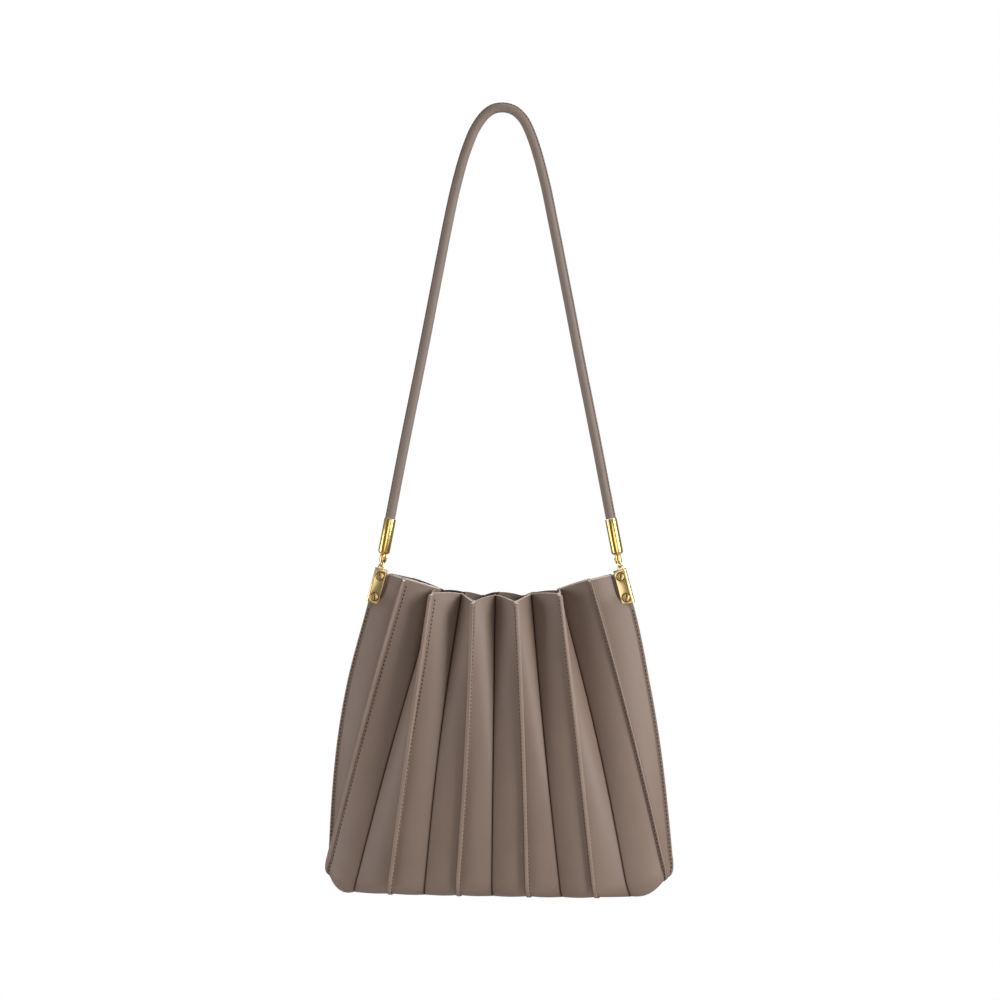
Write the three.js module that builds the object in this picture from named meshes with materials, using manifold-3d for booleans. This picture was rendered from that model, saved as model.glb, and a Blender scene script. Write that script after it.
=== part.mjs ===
// Accordion shoulder bag: a pleated leather body that hangs from a round leather strap.
// Millimetres, +Z up, front towards -Y. The origin is the underside of the strap's top bend,
// where a hook or a hand holds the bag.
import * as THREE from 'three';
import { mergeVertices } from 'three/addons/utils/BufferGeometryUtils.js';
import Module from 'manifold-3d';

const wasm = await Module();
wasm.setup();

// Driving dimensions of the body
const rimDrop = 320; // from the hang point down to the top corners of the rim
const rimHalfWidth = 87; // centre to the side fold, at the rim
const rimHalfDepth = 27; // middle to the front folds, at the rim
const rimDip = 18.7; // how far the middle of the rim sags below its corners
const bodyHeight = 225.8;
const baseHalfWidth = 122.5; // to the side fold, before the base corner is rounded
const baseHalfDepth = 48;
const baseCornerRadius = 22; // front to underside
const sideCornerRadius = 15; // the same bend on the outermost folds
const leatherThickness = 1.4;
const edgeRound = 0.25; // rounding of a fin's edge, in leather thicknesses
const creaseLimit = 1.6; // furthest that the inside of a sharp crease stands back, in leather thicknesses
const pinchHeight = 3.2; // stitched fin along each outer fold
const pinchHeightUnder = 1.5; // the same fin, flattened under the base
const clampedPinch = 9.6; // depth of the side fold held in its clamp
const clampRelease = 2.4; // clamp lengths from the rim until the fold is pinched no deeper than the others
const panelBulge = 1.1; // how far a panel swells between two folds
const cornerBulge = 4.5; // the same on the outermost panel, around the base corner
const baseFlatness = 0.8; // share of the swelling that the underside loses
const seamGap = 0.3;

// Driving dimensions of the hardware
const clampLength = 24.6;
const clampWidth = 8.8;
const clampPlate = 1.2;
const clampBend = 1.1; // outside radius of the clamp's two bends
const clampRise = 1.2; // clamp above the leather's edge
const clampClearance = 0.3;
const screwHeadDiameter = 5.3;
const screwHeadHeight = 1.1;
const screwCrown = 0.6; // flat part of the head, as a share of its radius
const screwEdge = 0.4; // straight part of the head's side, as a share of its height
const screwShankDiameter = 2.2;
const screwSlotWidth = 0.8;
const screwSlotDepth = 0.5;
const screwSpacing = 15;
const screwFromEnd = 5;
const screwAcross = 0.56; // share of clampWidth, from the outer bend
const screwSlotTurn = 68; // degrees from level
const lugWidth = 4.3;
const lugWire = 1.2;
const lugHeight = 3.4;
const lugAcross = 0.39; // share of clampWidth, from the outer bend
const lugBridge = 0.8; // plate between the cheeks that carries the lug
const claspWire = 1.2;
const claspRingDiameter = 5;
const claspPostDiameter = 4.2;
const claspPostLength = 5.2;
const claspPostRound = 0.5; // at the post's foot
const claspPostEdge = 0.3; // at its top
const claspNeckDiameter = 2;
const claspNeckLength = 1.6;
const claspHeadDiameter = 4;
const claspHeadHeight = 1.4;
const claspTabLength = 4;
const claspTabThickness = 0.9;
const claspTabTurn = 14; // degrees from the post
const claspTabStand = 0.3; // share of the tab's thickness that stands clear of the post
const claspTabRise = 0.25; // the tab's middle, as a share of the post's length
const ferruleDiameter = 8.2;
const ferruleLength = 25;
const ferruleChamfer = 1.3;
const ferruleLip = 0.3; // chamfer at the strap's end
const ferruleLean = 11; // degrees from upright
const workingGap = 0.3;
const strapDiameter = 6.8;
const strapSides = 10;
const strapSteps = 64;

// Centre line of the strap from ferrule to ferrule, as [x, z]
const strapRoute = [
  [-77.7, -284.1], [-73.8, -263.9], [-69.7, -242.9], [-65.5, -221.9], [-61.2, -200.9],
  [-56.9, -179.9], [-52.7, -158.9], [-48.6, -137.9], [-44.5, -116.9], [-40.4, -95.9],
  [-36.2, -74.9], [-31.6, -53.9], [-26.0, -33.0], [-22.4, -22.5], [-18.1, -12.3],
  [-13.2, -4.6], [-9.4, -0.5], [-4.9, 2.4], [0, 3.4], [4.9, 3.1],
  [9.6, 1.4], [13.2, -1.4], [16.8, -5.6], [20.4, -12.6], [24.2, -22.8],
  [27.3, -33.1], [32.5, -53.9], [36.8, -74.9], [41.0, -95.9], [45.1, -116.9],
  [49.2, -137.9], [53.2, -158.9], [57.3, -179.9], [61.5, -200.9], [65.7, -221.9],
  [69.8, -242.9], [73.8, -263.9], [77.7, -284.1],
];

// Folds of one quarter of the body, from the middle of the front to the side. Widths are shares
// of rimHalfWidth and baseHalfWidth, depths of rimHalfDepth and baseHalfDepth, dip of rimDip and
// rise of bodyHeight. Lean is the way a fold points, in degrees from straight ahead. Belly is the
// outward curve of the fold on its way down, as a share of baseHalfDepth, sideways and forwards.
const quarterFolds = [
  { name: 'middle', ridge: false, rimX: 0, rimY: 0.37, dip: 0.87, baseX: 0, baseY: 0.9,
    rise: 0, rimLean: 0, baseLean: 0, bellyX: 0, bellyY: 0.15, underX: 0 },
  { name: 'first', ridge: true, rimX: 0.183, rimY: 1, dip: 1, baseX: 0.198, baseY: 1,
    rise: 0, rimLean: 10, baseLean: 2, bellyX: -0.005, bellyY: 0.09, underX: 0.198 },
  { name: 'second', ridge: false, rimX: 0.28, rimY: 0.3, dip: 0.84, baseX: 0.39, baseY: 0.89,
    rise: 0, rimLean: 17, baseLean: 4, bellyX: 0.01, bellyY: 0.15, underX: 0.39 },
  { name: 'third', ridge: true, rimX: 0.525, rimY: 0.89, dip: 0.72, baseX: 0.585, baseY: 0.96,
    rise: 0, rimLean: 28, baseLean: 12, bellyX: 0.013, bellyY: 0.08, underX: 0.585 },
  { name: 'fourth', ridge: false, rimX: 0.477, rimY: 0.26, dip: 0.67, baseX: 0.787, baseY: 0.73,
    rise: 0, rimLean: 30, baseLean: 25, bellyX: 0.03, bellyY: 0.06, underX: 0.787 },
  { name: 'corner', ridge: true, rimX: 0.76, rimY: 0.72, dip: 0.24, baseX: 0.98, baseY: 0.52,
    rise: 0.045, rimLean: 45, baseLean: 86, bellyX: 0.03, bellyY: 0.03, underX: 0.905 },
  { name: 'tuck', ridge: false, rimX: 0.70, rimY: 0.41, dip: 0.36, baseX: 0.88, baseY: 0.33,
    rise: 0.045, rimLean: 74, baseLean: 88, bellyX: 0.04, bellyY: 0.02, underX: 0.99 },
  { name: 'side', ridge: true, rimX: 1, rimY: 0, dip: 0, baseX: 1, baseY: 0,
    rise: 0.045, rimLean: 90, baseLean: 90, bellyX: 0.14, bellyY: 0, underX: 0.89 },
];
const foldNumber = (name) => quarterFolds.findIndex((fold) => fold.name === name);
const cornerFold = foldNumber('corner');
const tuckFold = foldNumber('tuck');
const sideFold = foldNumber('side');

// Levels along a fold: down the front, round the base corner, and along the underside
const legLevels = [0, 0.06, 0.13, 0.22, 0.34, 0.48, 0.62, 0.76, 0.9, 1];
const cornerLevels = 5;
const longestTurn = 0.6; // share of the way to the middle of the underside that the base corner may take

const radians = THREE.MathUtils.degToRad;
const lerp = THREE.MathUtils.lerp;
const vector = (x, y, z) => new THREE.Vector3(x, y, z);
const moved = (point, direction, distance) => point.clone().addScaledVector(direction, distance);

const leather = () => new THREE.MeshStandardMaterial({ color: 0x8a7a6d, roughness: 0.55, metalness: 0 });
const gold = () => new THREE.MeshStandardMaterial({ color: 0xd9a93a, roughness: 0.18, metalness: 1 });
const satinGold = () => new THREE.MeshStandardMaterial({ color: 0xdcbb66, roughness: 0.36, metalness: 1 });

// One fold's tip line at a stretch ('leg', 'corner' or 'under') and a share of it, front half
function tipPoint(fold, stretch, share) {
  const top = vector(-fold.rimX * rimHalfWidth, -fold.rimY * rimHalfDepth, -rimDrop - fold.dip * rimDip);
  const baseZ = -rimDrop - bodyHeight * (1 - fold.rise);
  const base = vector(-fold.baseX * baseHalfWidth, -fold.baseY * baseHalfDepth, baseZ);
  const under = vector(-fold.underX * baseHalfWidth, 0, baseZ);
  const wanted = fold.rise > 0 ? sideCornerRadius : baseCornerRadius;
  const legEnd = base.clone().lerp(top, wanted / (top.z - baseZ));
  const underStart = moved(base, under.clone().sub(base).normalize(), Math.min(wanted, longestTurn * base.distanceTo(under)));
  if (stretch === 'leg') {
    const swell = Math.sin(Math.PI * share) * baseHalfDepth;
    const point = top.clone().lerp(legEnd, share);
    point.x -= fold.bellyX * swell;
    point.y -= fold.bellyY * swell;
    return point;
  }
  if (stretch === 'corner') {
    return new THREE.QuadraticBezierCurve3(legEnd, base, underStart).getPoint(share);
  }
  return underStart.lerp(under, share);
}

const halfLevels = [
  ...legLevels.map((share) => ({ stretch: 'leg', share, turned: 0 })),
  ...Array.from({ length: cornerLevels }, (_, step) => {
    const share = (step + 1) / cornerLevels;
    return { stretch: 'corner', share, turned: share };
  }),
  { stretch: 'under', share: 1, turned: 1 },
];
const cornerEnd = halfLevels.length - 2;

// Outward direction of a fold's fin: level on the front, turned downwards under the base
function finDirection(fold, level, along) {
  const legShare = level.stretch === 'leg' ? level.share : 1;
  const lean = radians(lerp(fold.rimLean, fold.baseLean, legShare));
  const facing = vector(-Math.sin(lean), -Math.cos(lean), 0);
  const steepest = fold.rise > 0 ? 0.5 : 1; // the outermost folds end half turned
  const turn = level.turned * steepest * Math.PI / 2;
  const down = vector(0, 0, -1);
  const side = level.stretch === 'under' ? facing.clone().setY(0) : facing;
  const direction = side.clone().multiplyScalar(Math.cos(turn)).addScaledVector(down, Math.sin(turn));
  return direction.addScaledVector(along, -direction.dot(along)).normalize();
}

function pinchAt(fold, level) {
  if (!fold.ridge) return 0;
  const open = lerp(pinchHeight, pinchHeightUnder, level.turned);
  if (fold.rimX < 1 || level.stretch !== 'leg') return open;
  const clampShare = clampLength / bodyHeight;
  const release = THREE.MathUtils.smoothstep(level.share, clampShare, clampRelease * clampShare);
  return lerp(clampedPinch, open, release);
}

// A fold at one level: tip, fin direction, the way across to the next fold, and the fin's root
function foldStation(index, levelIndex) {
  const fold = quarterFolds[index];
  const level = halfLevels[levelIndex];
  const tip = tipPoint(fold, level.stretch, level.share);
  const before = halfLevels[Math.max(levelIndex - 1, 0)];
  const after = halfLevels[Math.min(levelIndex + 1, halfLevels.length - 1)];
  const along = tipPoint(fold, after.stretch, after.share).sub(tipPoint(fold, before.stretch, before.share));
  if (level.stretch === 'under') along.set(0, 1, 0);
  along.normalize();
  const out = finDirection(fold, level, along);
  const across = out.clone().cross(along).normalize();
  const pinch = pinchAt(fold, level);
  return { ridge: fold.ridge, tip, out, across, root: moved(tip, out, -pinch) };
}

// The same station on the right (mirrored in X), or on the back (mirrored in Y)
function mirrorStation(station, signX, signY) {
  const flip = (v) => vector(v.x * signX, v.y * signY, v.z);
  const across = flip(station.across).multiplyScalar(signX);
  return { ...station, tip: flip(station.tip), out: flip(station.out), root: flip(station.root), across };
}

// Points of the leather at one fold, outside and inside
function foldFace(station, side) {
  return moved(station.root, station.across, side * leatherThickness);
}

function outerFold(station) {
  if (!station.ridge) return [station.tip];
  const shoulder = edgeRound * leatherThickness;
  const below = moved(station.tip, station.out, -shoulder);
  return [
    foldFace(station, -1),
    moved(below, station.across, -leatherThickness),
    station.tip,
    moved(below, station.across, leatherThickness),
    foldFace(station, 1),
  ];
}

function innerFold(station, neighbour) {
  const start = station.ridge ? foldFace(station, 1) : station.tip;
  const towards = neighbour.clone().sub(start).normalize();
  const cosine = Math.abs(towards.dot(station.out));
  const angle = Math.acos(THREE.MathUtils.clamp(cosine, 0, 0.999));
  if (station.ridge) return moved(station.root, station.out, -leatherThickness * Math.tan(angle / 2));
  return moved(station.tip, station.out, -leatherThickness * Math.min(1 / Math.sin(angle), creaseLimit));
}

// Half of a pinched fold that ends a leather piece: its sewing partner lies across the seam
function outerSeam(station, side) {
  const shoulder = edgeRound * leatherThickness;
  const below = moved(station.tip, station.out, -shoulder);
  return [
    moved(station.tip, station.across, side * seamGap / 2),
    moved(below, station.across, side * leatherThickness),
    foldFace(station, side),
  ];
}

function innerSeam(station, side, neighbour) {
  const towards = neighbour.clone().sub(foldFace(station, side)).normalize();
  const angle = Math.acos(THREE.MathUtils.clamp(Math.abs(towards.dot(station.out)), 0, 0.999));
  const inside = moved(station.root, station.out, -leatherThickness * Math.tan(angle / 2));
  return moved(inside, station.across, side * seamGap / 2);
}

// Middle of a panel: swollen outwards, and the leather's thickness behind it
function panelMiddle(from, to, out, bulge) {
  const across = to.clone().sub(from).normalize();
  const outward = moved(out, across, -out.dot(across)).normalize();
  const outer = moved(from.clone().lerp(to, 0.5), outward, bulge);
  return { outer, inner: moved(outer, outward, -leatherThickness) };
}

// One closed ring of a leather piece: the outside across all its folds, then the inside back
function leatherRing(stations, ends, bulges) {
  const last = stations.length - 1;
  const leftFace = (i) => (stations[i].ridge ? foldFace(stations[i], i === last ? ends[1] : -1) : stations[i].tip);
  const rightFace = (i) => (stations[i].ridge ? foldFace(stations[i], i === 0 ? ends[0] : 1) : stations[i].tip);
  const outer = [...outerSeam(stations[0], ends[0])];
  const inner = [innerSeam(stations[0], ends[0], leftFace(1))];
  for (let i = 0; i < last; i += 1) {
    const out = stations[i].out.clone().add(stations[i + 1].out);
    const middle = panelMiddle(rightFace(i), leftFace(i + 1), out, bulges[i]);
    outer.push(middle.outer);
    inner.push(middle.inner);
    if (i + 1 < last) {
      outer.push(...outerFold(stations[i + 1]));
      inner.push(innerFold(stations[i + 1], leftFace(i + 2)));
    }
  }
  outer.push(...outerSeam(stations[last], ends[1]).reverse());
  inner.push(innerSeam(stations[last], ends[1], rightFace(last - 1)));
  return [...outer, ...inner.reverse()];
}

function signedVolume(points, index) {
  let volume = 0;
  for (let i = 0; i < index.length; i += 3) {
    const [a, b, c] = [points[index[i]], points[index[i + 1]], points[index[i + 2]]];
    volume += a.dot(b.clone().cross(c)) / 6;
  }
  return volume;
}

// A closed skin over rings of equal point counts, with both ends filled
function skin(rings, flattenFirst, flattenLast) {
  const count = rings[0].length;
  const points = rings.flat();
  let index = [];
  for (let r = 0; r < rings.length - 1; r += 1) {
    for (let i = 0; i < count; i += 1) {
      const [a, b] = [r * count + i, r * count + ((i + 1) % count)];
      index.push(a, b, b + count, a, b + count, a + count);
    }
  }
  const fillEnd = (ring, start, sameWay, flatten) => {
    const flat = ring.map(flatten);
    const area = (corners) => THREE.ShapeUtils.area(corners.map((i) => flat[i]));
    const triangles = THREE.ShapeUtils.triangulateShape(flat, []);
    const filled = triangles.reduce((sum, corners) => sum + area(corners), 0);
    const agrees = Math.sign(filled) === Math.sign(THREE.ShapeUtils.area(flat));
    for (const [a, b, c] of triangles) {
      index.push(start + a, ...(agrees === sameWay ? [start + b, start + c] : [start + c, start + b]));
    }
  };
  fillEnd(rings[0], 0, false, flattenFirst);
  fillEnd(rings[rings.length - 1], (rings.length - 1) * count, true, flattenLast);
  if (signedVolume(points, index) < 0) {
    index = index.map((_, i) => index[i - (i % 3) + [0, 2, 1][i % 3]]);
  }
  const geometry = new THREE.BufferGeometry().setFromPoints(points);
  geometry.setIndex(index);
  return geometry;
}

const fromAbove = (point) => new THREE.Vector2(point.x, point.y);

// Looks at a ring squarely, along the normal of the area that it encloses
function faceOn(ring) {
  const normal = vector(0, 0, 0);
  ring.forEach((point, i) => normal.add(point.clone().cross(ring[(i + 1) % ring.length])));
  const turn = new THREE.Quaternion().setFromUnitVectors(normal.normalize(), vector(0, 0, 1));
  return (point) => fromAbove(point.clone().applyQuaternion(turn));
}

// Front, base and back in one pleated piece that runs under the bag
function mainPanelGeometry() {
  const order = [5, 4, 3, 2, 1, 0];
  const rowAt = (levelIndex, signY) => {
    const left = order.map((index) => mirrorStation(foldStation(index, levelIndex), 1, signY));
    const right = order.slice(0, -1).reverse()
      .map((index) => mirrorStation(foldStation(index, levelIndex), -1, signY));
    const stations = [...left, ...right];
    const turned = halfLevels[levelIndex].turned;
    const bulges = stations.slice(1).map((_, i, all) => {
      const outermost = i === 0 || i === all.length - 1;
      return outermost ? lerp(panelBulge, cornerBulge, turned) : panelBulge * (1 - baseFlatness * turned);
    });
    return leatherRing(stations, [1, -1], bulges);
  };
  const front = halfLevels.map((_, i) => rowAt(i, 1));
  const back = halfLevels.slice(0, -1).map((_, i) => rowAt(i, -1)).reverse();
  return skin([...front, ...back], fromAbove, fromAbove);
}

// Side gusset: from the back corner seam over the side fold to the front corner seam
function gussetGeometry(signX) {
  const rings = [];
  for (let levelIndex = 0; levelIndex <= cornerEnd; levelIndex += 1) {
    const front = [tuckFold, cornerFold].map((index) => foldStation(index, levelIndex));
    const back = [cornerFold, tuckFold].map((index) => mirrorStation(foldStation(index, levelIndex), 1, -1));
    const stations = [...back, foldStation(sideFold, levelIndex), ...front];
    const open = 1 - halfLevels[levelIndex].turned;
    rings.push(leatherRing(stations, [-1, -1], Array(stations.length - 1).fill(panelBulge * open)));
  }
  const sided = rings.map((ring) => ring.map((point) => vector(point.x * signX, point.y, point.z)));
  return skin(sided, fromAbove, faceOn(sided[sided.length - 1]));
}

// A closed three.js geometry as a solid for cutting and joining, and back again
function toSolid(geometry) {
  const bare = geometry.clone();
  bare.deleteAttribute('normal');
  bare.deleteAttribute('uv');
  const merged = mergeVertices(bare, 1e-4);
  const triVerts = new Uint32Array(merged.index.array);
  return new wasm.Manifold(new wasm.Mesh({ numProp: 3, vertProperties: merged.attributes.position.array, triVerts }));
}

function toGeometry(solid) {
  const mesh = solid.getMesh();
  const geometry = new THREE.BufferGeometry();
  geometry.setAttribute('position', new THREE.BufferAttribute(new Float32Array(mesh.vertProperties), 3));
  geometry.setIndex(new THREE.BufferAttribute(new Uint32Array(mesh.triVerts), 1));
  return geometry;
}

function lathe(profile, segments) {
  const points = profile.map(([radius, height]) => new THREE.Vector2(radius, height));
  return new THREE.LatheGeometry(points, segments).rotateX(Math.PI / 2);
}

// Frame of the clamp on the left side fold: x inwards, z up along the fold, origin at the rim
const foldTop = tipPoint(quarterFolds[sideFold], 'leg', 0);
const foldBelow = tipPoint(quarterFolds[sideFold], 'leg', clampLength / bodyHeight);
const clampLean = Math.atan2(foldTop.x - foldBelow.x, foldTop.z - foldBelow.z);
const clampInnerHalf = leatherThickness + clampClearance;
const clampOuterHalf = clampInnerHalf + clampPlate;
const clampTop = clampRise;
const clampOuterX = -(clampClearance + clampPlate);
const screwInset = clampOuterX + screwAcross * clampWidth;
const screwHeights = [clampTop - screwFromEnd, clampTop - screwFromEnd - screwSpacing];
const lugCentre = vector(clampOuterX + lugAcross * clampWidth, 0, clampTop + lugHeight - lugWidth / 2);

// Clamp folded round the side fold, with its lug on top, before the screw holes
function clampSolid(side) {
  const [near, far] = [clampOuterX * side, (clampOuterX + clampWidth) * side];
  const bend = clampBend * side;
  const webInside = (clampOuterX + clampPlate) * side;
  const section = new THREE.Shape();
  section.moveTo(far, -clampOuterHalf);
  section.lineTo(near + bend, -clampOuterHalf);
  section.quadraticCurveTo(near, -clampOuterHalf, near, -clampOuterHalf + Math.abs(bend));
  section.lineTo(near, clampOuterHalf - Math.abs(bend));
  section.quadraticCurveTo(near, clampOuterHalf, near + bend, clampOuterHalf);
  section.lineTo(far, clampOuterHalf);
  section.lineTo(far, clampInnerHalf);
  section.lineTo(webInside, clampInnerHalf);
  section.lineTo(webInside, -clampInnerHalf);
  section.lineTo(far, -clampInnerHalf);
  section.closePath();
  const body = new THREE.ExtrudeGeometry(section, { depth: clampLength, bevelEnabled: false, curveSegments: 4 });
  body.translate(0, 0, clampTop - clampLength);
  // the lug is an arch of wire on a bridge between the two cheeks
  const bridge = new THREE.BoxGeometry(lugWidth, 2 * clampInnerHalf + clampPlate, lugBridge);
  bridge.translate(lugCentre.x * side, 0, clampTop - lugBridge / 2);
  const ring = (lugWidth - lugWire) / 2;
  const lugFoot = clampTop - lugCentre.z - lugBridge / 8;
  const arch = new THREE.Shape();
  arch.absarc(0, 0, lugWidth / 2, 0, Math.PI, false);
  arch.lineTo(-lugWidth / 2, lugFoot);
  arch.lineTo(-(ring - lugWire / 2), lugFoot);
  arch.absarc(0, 0, ring - lugWire / 2, Math.PI, 0, true);
  arch.lineTo(ring - lugWire / 2, lugFoot);
  arch.lineTo(lugWidth / 2, lugFoot);
  arch.closePath();
  const lug = new THREE.ExtrudeGeometry(arch, { depth: lugWire, bevelEnabled: false, curveSegments: 8 });
  lug.translate(0, 0, -lugWire / 2).rotateX(Math.PI / 2).translate(lugCentre.x * side, 0, lugCentre.z);
  return toSolid(body).add(toSolid(bridge)).add(toSolid(lug));
}

// Screw through both cheeks and the leather: slotted head in front, plain head behind
function screwGeometry() {
  const [shank, head] = [screwShankDiameter / 2, screwHeadDiameter / 2];
  const seat = clampOuterHalf + workingGap / 2;
  const top = seat + screwHeadHeight;
  const [crown, edge] = [screwCrown * head, screwEdge * screwHeadHeight];
  const profile = [
    [0, -top], [crown, -top], [head, -seat - edge], [head, -seat], [shank, -seat],
    [shank, seat], [head, seat], [head, seat + edge], [crown, top], [0, top],
  ];
  const screw = toSolid(lathe(profile, 14));
  const slot = new THREE.BoxGeometry(screwHeadDiameter + 1, screwSlotWidth, 2 * screwSlotDepth);
  slot.rotateZ(radians(screwSlotTurn)).translate(0, 0, top);
  return toGeometry(screw.subtract(toSolid(slot))).rotateX(Math.PI / 2);
}

function screwHoles() {
  const bore = new THREE.CylinderGeometry(1, 1, 4 * clampOuterHalf, 14);
  const radius = screwShankDiameter / 2 + workingGap;
  return toSolid(bore.scale(radius, 1, radius));
}

// Clasp under the ferrule: ring through the lug, round post with a thumb tab, neck and head
function claspGeometry(side) {
  const ringMiddle = (claspRingDiameter - claspWire) / 2;
  const ring = new THREE.TorusGeometry(ringMiddle, claspWire / 2, 6, 14).rotateY(Math.PI / 2);
  const postFoot = ringMiddle;
  const postTop = postFoot + claspPostLength;
  const [post, neck, head] = [claspPostDiameter / 2, claspNeckDiameter / 2, claspHeadDiameter / 2];
  const headFoot = postTop + claspNeckLength;
  const stem = lathe([
    [0, postFoot - claspPostEdge], [post - 2 * claspPostRound, postFoot], [post, postFoot + claspPostRound],
    [post, postTop - claspPostEdge], [post - claspPostEdge, postTop], [neck, postTop], [neck, headFoot],
    [head, headFoot], [head, headFoot + claspHeadHeight], [0, headFoot + claspHeadHeight],
  ], 14);
  const tab = new THREE.BoxGeometry(claspTabThickness, claspTabThickness, claspTabLength);
  tab.rotateY(side * radians(claspTabTurn));
  tab.translate(side * (post + claspTabStand * claspTabThickness), 0, postFoot + claspTabRise * claspPostLength);
  return toGeometry(toSolid(ring).add(toSolid(stem)).add(toSolid(tab)));
}

// Barrel that holds the strap's end, bored below for the clasp's neck and head
function ferruleGeometry() {
  const radius = ferruleDiameter / 2;
  const neckBore = claspNeckDiameter / 2 + workingGap;
  const headBore = claspHeadDiameter / 2 + workingGap;
  const floor = claspNeckLength - 2 * workingGap;
  const room = floor + claspHeadHeight + 2 * workingGap;
  return lathe([
    [neckBore, 0], [radius - ferruleChamfer, 0], [radius, ferruleChamfer],
    [radius, ferruleLength - ferruleLip], [radius - ferruleLip, ferruleLength], [0, ferruleLength],
    [0, room], [headBore, room], [headBore, floor], [neckBore, floor], [neckBore, 0],
  ], 18);
}

function strapGeometry() {
  const points = strapRoute.map(([x, z]) => vector(x, 0, z));
  const section = new THREE.Shape(Array.from({ length: strapSides }, (_, i) => {
    const angle = (2 * Math.PI * i) / strapSides;
    return new THREE.Vector2(Math.cos(angle), Math.sin(angle)).multiplyScalar(strapDiameter / 2);
  }));
  const extrudePath = new THREE.CatmullRomCurve3(points, false, 'centripetal');
  return new THREE.ExtrudeGeometry(section, { steps: strapSteps, extrudePath, bevelEnabled: false });
}

const bag = new THREE.Group();

function addPiece(name, geometry, material, parent = bag) {
  const piece = new THREE.Mesh(geometry, material);
  piece.name = name;
  parent.add(piece);
  return piece;
}

addPiece('main_panel', mainPanelGeometry(), leather());
addPiece('strap', strapGeometry(), leather());

for (const side of [1, -1]) {
  // side is 1 on the left, where inwards is +X, and -1 on the right
  const word = side === 1 ? 'left' : 'right';
  const clampGroup = new THREE.Group();
  clampGroup.position.set(foldTop.x * side, 0, foldTop.z);
  clampGroup.rotation.y = clampLean * side;
  bag.add(clampGroup);
  clampGroup.updateMatrixWorld(true);

  let clamp = clampSolid(side);
  let gusset = toSolid(gussetGeometry(side));
  screwHeights.forEach((height, i) => {
    const bore = screwHoles().translate([screwInset * side, 0, height]);
    clamp = clamp.subtract(bore);
    gusset = gusset.subtract(bore.transform(clampGroup.matrixWorld.elements));
    const screw = addPiece(`screw_${word}_${i + 1}`, screwGeometry(), gold(), clampGroup);
    screw.position.set(screwInset * side, 0, height);
  });
  addPiece(`gusset_${word}`, toGeometry(gusset), leather());
  addPiece(`clamp_plate_${word}`, toGeometry(clamp), satinGold(), clampGroup);

  // the clasp's ring hangs on the lug with its lower wire under the lug's arch
  const lugTop = lugCentre.z + lugWidth / 2;
  const ringCentre = lugTop - lugWire - workingGap - claspWire / 2 + (claspRingDiameter - claspWire) / 2;
  const hangPoint = clampGroup.localToWorld(vector(lugCentre.x * side, 0, ringCentre));
  const strapGroup = new THREE.Group();
  strapGroup.position.copy(hangPoint);
  strapGroup.rotation.y = radians(ferruleLean) * side;
  bag.add(strapGroup);
  addPiece(`clasp_${word}`, claspGeometry(side), gold(), strapGroup);
  const ferrule = addPiece(`ferrule_${word}`, ferruleGeometry(), gold(), strapGroup);
  ferrule.position.z = (claspRingDiameter - claspWire) / 2 + claspPostLength + workingGap;
}

export default bag;
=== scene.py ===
import math
import bpy
import numpy as np
from mathutils import Matrix, Vector, noise


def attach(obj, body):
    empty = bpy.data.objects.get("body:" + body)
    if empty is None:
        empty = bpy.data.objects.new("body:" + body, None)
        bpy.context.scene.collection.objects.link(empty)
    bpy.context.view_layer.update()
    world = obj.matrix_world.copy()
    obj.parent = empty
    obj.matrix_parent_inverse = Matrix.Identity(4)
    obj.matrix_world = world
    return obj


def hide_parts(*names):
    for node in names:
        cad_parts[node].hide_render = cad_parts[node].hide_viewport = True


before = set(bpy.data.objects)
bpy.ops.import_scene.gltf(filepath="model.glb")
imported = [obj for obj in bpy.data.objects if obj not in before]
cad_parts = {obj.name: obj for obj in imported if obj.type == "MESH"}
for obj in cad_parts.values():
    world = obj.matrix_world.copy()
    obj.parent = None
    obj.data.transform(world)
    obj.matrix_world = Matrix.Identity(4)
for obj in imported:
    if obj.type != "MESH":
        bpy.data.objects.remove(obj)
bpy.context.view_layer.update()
mm = 0.001


# small helpers for working as by hand

def clearSelection():
    if bpy.context.mode != "OBJECT":
        bpy.ops.object.mode_set(mode="OBJECT")
    bpy.ops.object.select_all(action="DESELECT")


def takeHold(piece):
    clearSelection()
    piece.select_set(True)
    bpy.context.view_layer.objects.active = piece


def applyPlace(piece):
    takeHold(piece)
    bpy.ops.object.transform_apply(location=True, rotation=True, scale=True)
    return piece


def turnPiece(piece, turn, at):
    piece.rotation_euler = (0, turn, 0)
    piece.location = at
    applyPlace(piece)


def startPicking(piece, kind):
    takeHold(piece)
    bpy.ops.object.mode_set(mode="EDIT")
    bpy.ops.mesh.select_mode(type=kind)
    bpy.ops.mesh.select_all(action="DESELECT")
    bpy.ops.object.mode_set(mode="OBJECT")


def pickFaces(piece, test):
    startPicking(piece, "FACE")
    for face in piece.data.polygons:
        face.select = bool(test(face.center, face.normal))
    bpy.ops.object.mode_set(mode="EDIT")


def pickEdges(piece, test):
    startPicking(piece, "EDGE")
    points = piece.data.vertices
    for edge in piece.data.edges:
        edge.select = bool(test(*(points[i].co for i in edge.vertices)))
    bpy.ops.object.mode_set(mode="EDIT")


def applyModifier(piece, kind, **settings):
    takeHold(piece)
    modifier = piece.modifiers.new(kind.lower(), kind)
    for name, value in settings.items():
        setattr(modifier, name, value)
    bpy.ops.object.modifier_apply(modifier=modifier.name)


def roundEdges(piece, width, segments, angle):
    applyModifier(piece, "BEVEL", width=width, segments=segments, limit_method="ANGLE",
                  angle_limit=math.radians(angle))


def cutWith(piece, cutter):
    applyModifier(piece, "BOOLEAN", operation="DIFFERENCE", object=cutter, solver="EXACT")
    bpy.data.objects.remove(cutter, do_unlink=True)


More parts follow.
